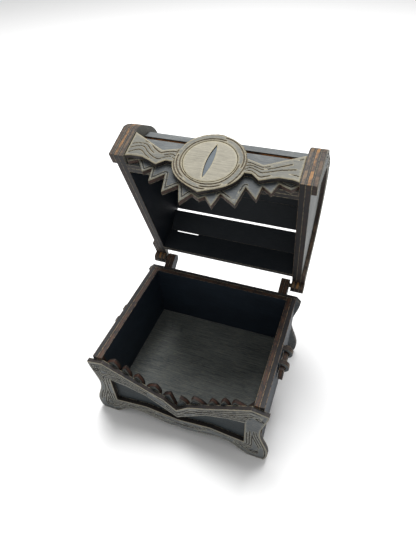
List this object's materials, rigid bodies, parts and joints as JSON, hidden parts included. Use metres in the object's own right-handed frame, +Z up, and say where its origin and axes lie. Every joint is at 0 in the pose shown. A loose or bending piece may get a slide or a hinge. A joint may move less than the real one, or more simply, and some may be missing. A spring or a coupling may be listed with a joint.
{
  "type": "dice storage chest",
  "caption": "Small footed plywood chest with a barrel lid on pin hinges, a toothed mouth, an eye board and drop handles on both sides.",
  "frame": {"origin": "on the ground, at the bottom centre of the whole object's box as it stands with its lid open", "axes": "+Z up, +Y towards the hinge at the back, +X to the right as seen from the front"},
  "size_m": [0.1212, 0.1408, 0.1671],
  "materials": {
    "stained_ply": "matt dark stain",
    "floor_ply": "matt grey-brown stain",
    "carved_ply": "dry-brushed weathered grey",
    "teeth_ply": "blue-grey stain, pale worn edges",
    "eye_ply": "matt bleached",
    "handle_ply": "matt dark brown stain",
    "pin_dowel": "dowel, lightly stained"
  },
  "bodies": {
    "tray": {"floor_panel": "floor_ply", "front_wall": "teeth_ply", "front_frame": "carved_ply", "back_inner_wall": "stained_ply", "back_outer_frame": "carved_ply", "left_inner_wall": "stained_ply", "left_outer_wall": "stained_ply", "left_hinge_pin": "pin_dowel", "left_hinge_lug_outer": "stained_ply", "left_hinge_lug_inner": "stained_ply", "left_front_handle_hook": "carved_ply", "left_rear_handle_hook": "carved_ply", "right_inner_wall": "stained_ply", "right_outer_wall": "stained_ply", "right_hinge_pin": "pin_dowel", "right_hinge_lug_outer": "stained_ply", "right_hinge_lug_inner": "stained_ply", "right_front_handle_hook": "carved_ply", "right_rear_handle_hook": "carved_ply"},
    "lid": {"lid_back_board": "stained_ply", "lid_front_board": "stained_ply", "roof_board_1": "stained_ply", "roof_board_2": "stained_ply", "roof_board_3": "stained_ply", "roof_board_4": "stained_ply", "roof_board_5": "stained_ply", "roof_board_6": "stained_ply", "roof_board_7": "stained_ply", "lid_left_inner_panel": "stained_ply", "lid_left_outer_panel": "stained_ply", "lid_left_arch": "carved_ply", "lid_right_inner_panel": "stained_ply", "lid_right_outer_panel": "stained_ply", "lid_right_arch": "carved_ply", "lid_front_facing": "stained_ply", "roof_front_strip": "stained_ply", "upper_teeth_panel": "teeth_ply", "eye_board": "carved_ply", "eye_disc": "eye_ply"},
    "left_handle": {"left_handle": "handle_ply"},
    "right_handle": {"right_handle": "handle_ply"}
  },
  "joints": [
    {"name": "lid_hinge", "type": "hinge", "parent": "tray", "child": "lid", "pos_m": [0, 0.03114, 0.0565], "axis": [-1, 0, 0], "range_deg": [-70.5, 104.5]},
    {"name": "left_handle_swing", "type": "hinge", "parent": "tray", "child": "left_handle", "pos_m": [-0.0564, -0.02436, 0.047], "axis": [0, 1, 0], "range_deg": [0, 150]},
    {"name": "right_handle_swing", "type": "hinge", "parent": "tray", "child": "right_handle", "pos_m": [0.0564, -0.02436, 0.047], "axis": [0, -1, 0], "range_deg": [0, 150]}
  ]
}
